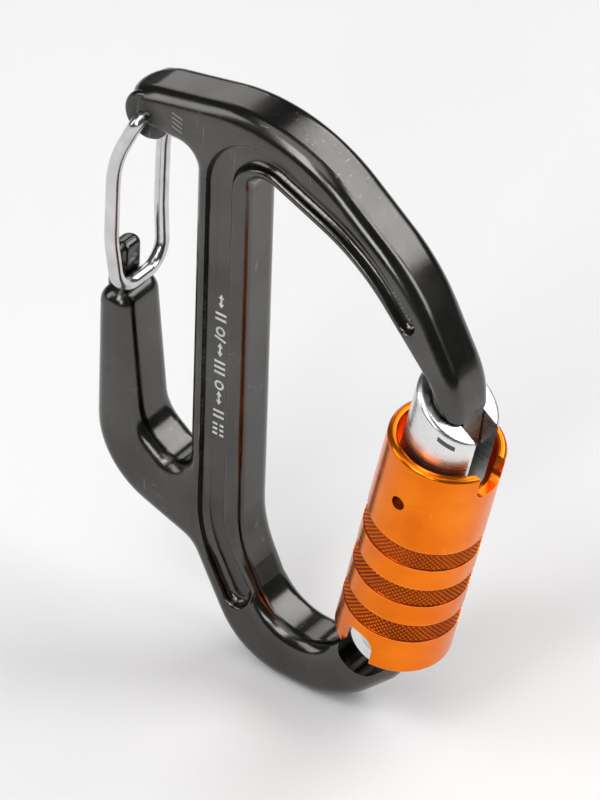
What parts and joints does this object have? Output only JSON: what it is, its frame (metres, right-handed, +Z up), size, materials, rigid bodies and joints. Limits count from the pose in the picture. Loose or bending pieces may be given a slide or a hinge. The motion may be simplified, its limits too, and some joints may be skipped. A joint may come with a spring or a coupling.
{
  "type": "locking carabiner",
  "caption": "D-shaped locking carabiner with a twist-lock sleeve on the main gate, a friction spur beside the spine and a wire gate that closes the spur.",
  "frame": {"origin": "centre of the spine bar at mid height, where a device's eye rides", "axes": "+Z up along the spine towards the top bow, +X from the spine towards the main gate, Y across the body, which is symmetric about the XZ plane"},
  "size_m": [0.0701, 0.0178, 0.1003],
  "materials": {
    "anodised_grey": "polished",
    "satin_silver": "satin",
    "anodised_orange": "satin",
    "rivet_steel": "brushed",
    "gate_wire": "polished",
    "spring_steel": "satin",
    "polymer_dark": "matte"
  },
  "bodies": {
    "frame": {"frame_body": "anodised_grey"},
    "gate": {"gate_barrel": "satin_silver", "hinge_rivet": "rivet_steel", "gate_return_spring": "spring_steel", "sleeve_guide_pin": "rivet_steel", "sleeve_torsion_spring": "spring_steel"},
    "sleeve": {"locking_sleeve": "anodised_orange", "sleeve_end_ring": "polymer_dark"},
    "plunger": {"gate_plunger": "polymer_dark"},
    "wire_gate": {"wire_gate": "gate_wire"}
  },
  "joints": [
    {"name": "gate_hinge", "type": "hinge", "parent": "frame", "child": "gate", "pos_m": [0.0316, 0, -0.0348], "axis": [0, -1, 0], "range_deg": [0, 25], "stiffness_Nm_per_rad": 0.3, "springref_deg": -34.38},
    {"name": "sleeve_twist", "type": "hinge", "parent": "gate", "child": "sleeve", "pos_m": [0.0316, 0, -0.0348], "axis": [0.2045, 0, 0.9789], "range_deg": [0, 82], "stiffness_Nm_per_rad": 0.02, "springref_deg": 114.59},
    {"name": "plunger_slide", "type": "slide", "parent": "gate", "child": "plunger", "axis": [0.2045, 0, 0.9789], "range_m": [0, 0.0005], "deforming": ["gate_return_spring"]},
    {"name": "wire_gate_hinge", "type": "hinge", "parent": "frame", "child": "wire_gate", "pos_m": [-0.0138, 0, 0.0397], "axis": [0, -1, 0], "range_deg": [0, 19], "stiffness_Nm_per_rad": 0.05, "springref_deg": -17.19}
  ],
  "couplings": [
    {"joint": "plunger_slide", "follows": "gate_hinge", "m_per_rad": 0.0011}
  ]
}
